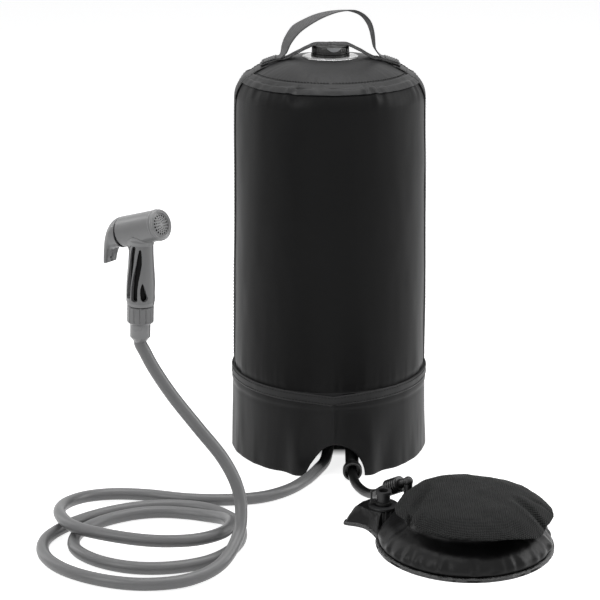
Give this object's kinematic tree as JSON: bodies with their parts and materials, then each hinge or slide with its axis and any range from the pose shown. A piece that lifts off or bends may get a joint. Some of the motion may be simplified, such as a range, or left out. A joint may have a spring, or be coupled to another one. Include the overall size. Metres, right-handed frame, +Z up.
{
  "type": "portable camping shower",
  "caption": "Free-standing pressurised water bag with filler cap and carry loop, a lever spray handset on a long hose and a foot pump on a short air hose.",
  "frame": {"origin": "on the floor, on the axis of the bag", "axes": "+Z up, +X to the right and -Y to the front, where the hoses leave the skirt"},
  "size_m": [0.51, 0.4981, 0.49],
  "materials": {
    "tarpaulin": "semi-matt PVC-coated polyester, heavy, smooth",
    "strip": "welded PVC strip, a little lighter than the bag",
    "webbing": "woven grey polyester webbing",
    "clear_pvc": "milky clear welded PVC flange",
    "black_plastic": "fine-textured black injection moulding",
    "cap_black": "satin black moulded cap",
    "tab_grey": "light grey soft plastic",
    "rubber": "black sealing rubber",
    "valve_rubber": "dark red silicone valve disc",
    "steel": "stainless steel",
    "handset_grey": "grey ABS with a soft gloss",
    "handset_light": "lighter grey ABS",
    "core_black": "black inner tube",
    "hose_grey": "smooth grey PVC hose",
    "hose_black": "smooth black air hose",
    "pump_skin": "PVC-coated fabric of the pump, wrinkled",
    "foam": "open-cell polyurethane foam",
    "plate": "hard board inside the pump cover",
    "cover_mesh": "coarse-textured dark fabric",
    "valve_grey": "dark grey moulding"
  },
  "bodies": {
    "shower": {"bag_wall": "tarpaulin", "top_panel": "tarpaulin", "shoulder_band": "strip", "bag_floor": "tarpaulin", "base_skirt": "tarpaulin", "skirt_hem": "strip", "side_strips": "strip", "handle_anchors": "webbing", "carry_handle": "webbing", "keeper_strap": "webbing", "filler_flange": "clear_pvc", "filler_neck": "black_plastic", "water_outlet": "black_plastic", "outlet_seal": "rubber", "outlet_nut": "black_plastic", "hose_clamp": "steel", "air_inlet": "black_plastic", "inlet_seal": "rubber", "inlet_nut": "black_plastic", "air_elbow": "black_plastic", "hose_sleeve": "handset_light", "nut_washer": "rubber", "grip_core": "core_black", "base_ring": "handset_light", "grip_shell": "handset_grey", "head_shell": "handset_grey", "face_ring": "handset_light", "spray_face": "handset_light", "lever_pin": "steel", "stem_seal": "rubber", "return_spring": "steel", "pump_base": "pump_skin", "pump_rim": "pump_skin", "pump_lobe": "pump_skin", "pump_shell": "pump_skin", "pump_foam": "foam", "valve_flange": "valve_grey", "valve_barrel": "valve_grey", "valve_tether": "rubber", "pump_spigot": "black_plastic", "shower_hose": "hose_grey", "air_hose": "hose_black"},
    "cap_carrier": {"cap_leash_ring": "black_plastic", "cap_tab": "tab_grey"},
    "cap": {"filler_cap": "cap_black", "cap_seal": "rubber"},
    "lever_body": {"lever": "handset_grey"},
    "stem_body": {"valve_stem": "steel"},
    "hose_nut_body": {"hose_nut": "handset_grey"},
    "pump_top": {"pump_plate": "plate", "pump_cover": "cover_mesh"},
    "inlet_valve_disc": {"check_disc": "valve_rubber"},
    "intake_valve_disc": {"intake_disc": "valve_rubber"},
    "air_nut_body": {"pump_hose_nut": "black_plastic"}
  },
  "joints": [
    {"name": "cap_rise", "type": "slide", "parent": "shower", "child": "cap_carrier", "axis": [0, 0, 1], "range_m": [0, 0.003], "deforming": ["keeper_strap"]},
    {"name": "cap_turn", "type": "hinge", "parent": "cap_carrier", "child": "cap", "pos_m": [0, 0, 0.4475], "axis": [0, 0, 1], "range_deg": [0, 450]},
    {"name": "lever_press", "type": "hinge", "parent": "shower", "child": "lever_body", "pos_m": [-0.20501, -0.23844, 0.31669], "axis": [-0.5736, -0.8192, 0], "range_deg": [0, 10]},
    {"name": "stem_press", "type": "slide", "parent": "shower", "child": "stem_body", "axis": [0.7829, -0.5482, 0.294], "range_m": [0, 0.0034], "stiffness_N_per_m": 60, "springref_m": -0.002},
    {"name": "hose_nut_turn", "type": "hinge", "parent": "shower", "child": "hose_nut_body", "pos_m": [-0.18734, -0.25081, 0.23096], "axis": [0.0414, -0.029, 0.9987], "continuous": true},
    {"name": "pump_press", "type": "slide", "parent": "shower", "child": "pump_top", "axis": [0, 0, -1], "range_m": [0, 0.018], "stiffness_N_per_m": 2000, "springref_m": -0.005, "deforming": ["pump_shell", "pump_foam"]},
    {"name": "check_disc_lift", "type": "slide", "parent": "shower", "child": "inlet_valve_disc", "axis": [0, 0, 1], "range_m": [0, 0.002]},
    {"name": "intake_disc_lift", "type": "slide", "parent": "shower", "child": "intake_valve_disc", "axis": [0, 0, 1], "range_m": [0, 0.002]},
    {"name": "air_nut_turn", "type": "hinge", "parent": "shower", "child": "air_nut_body", "pos_m": [0.058, -0.205, 0.028], "axis": [0.6505, -0.574, 0.4974], "continuous": true}
  ],
  "couplings": [
    {"joint": "cap_turn", "follows": "cap_rise", "rad_per_m": 2618},
    {"joint": "lever_press", "follows": "stem_press", "rad_per_m": 51.28}
  ]
}
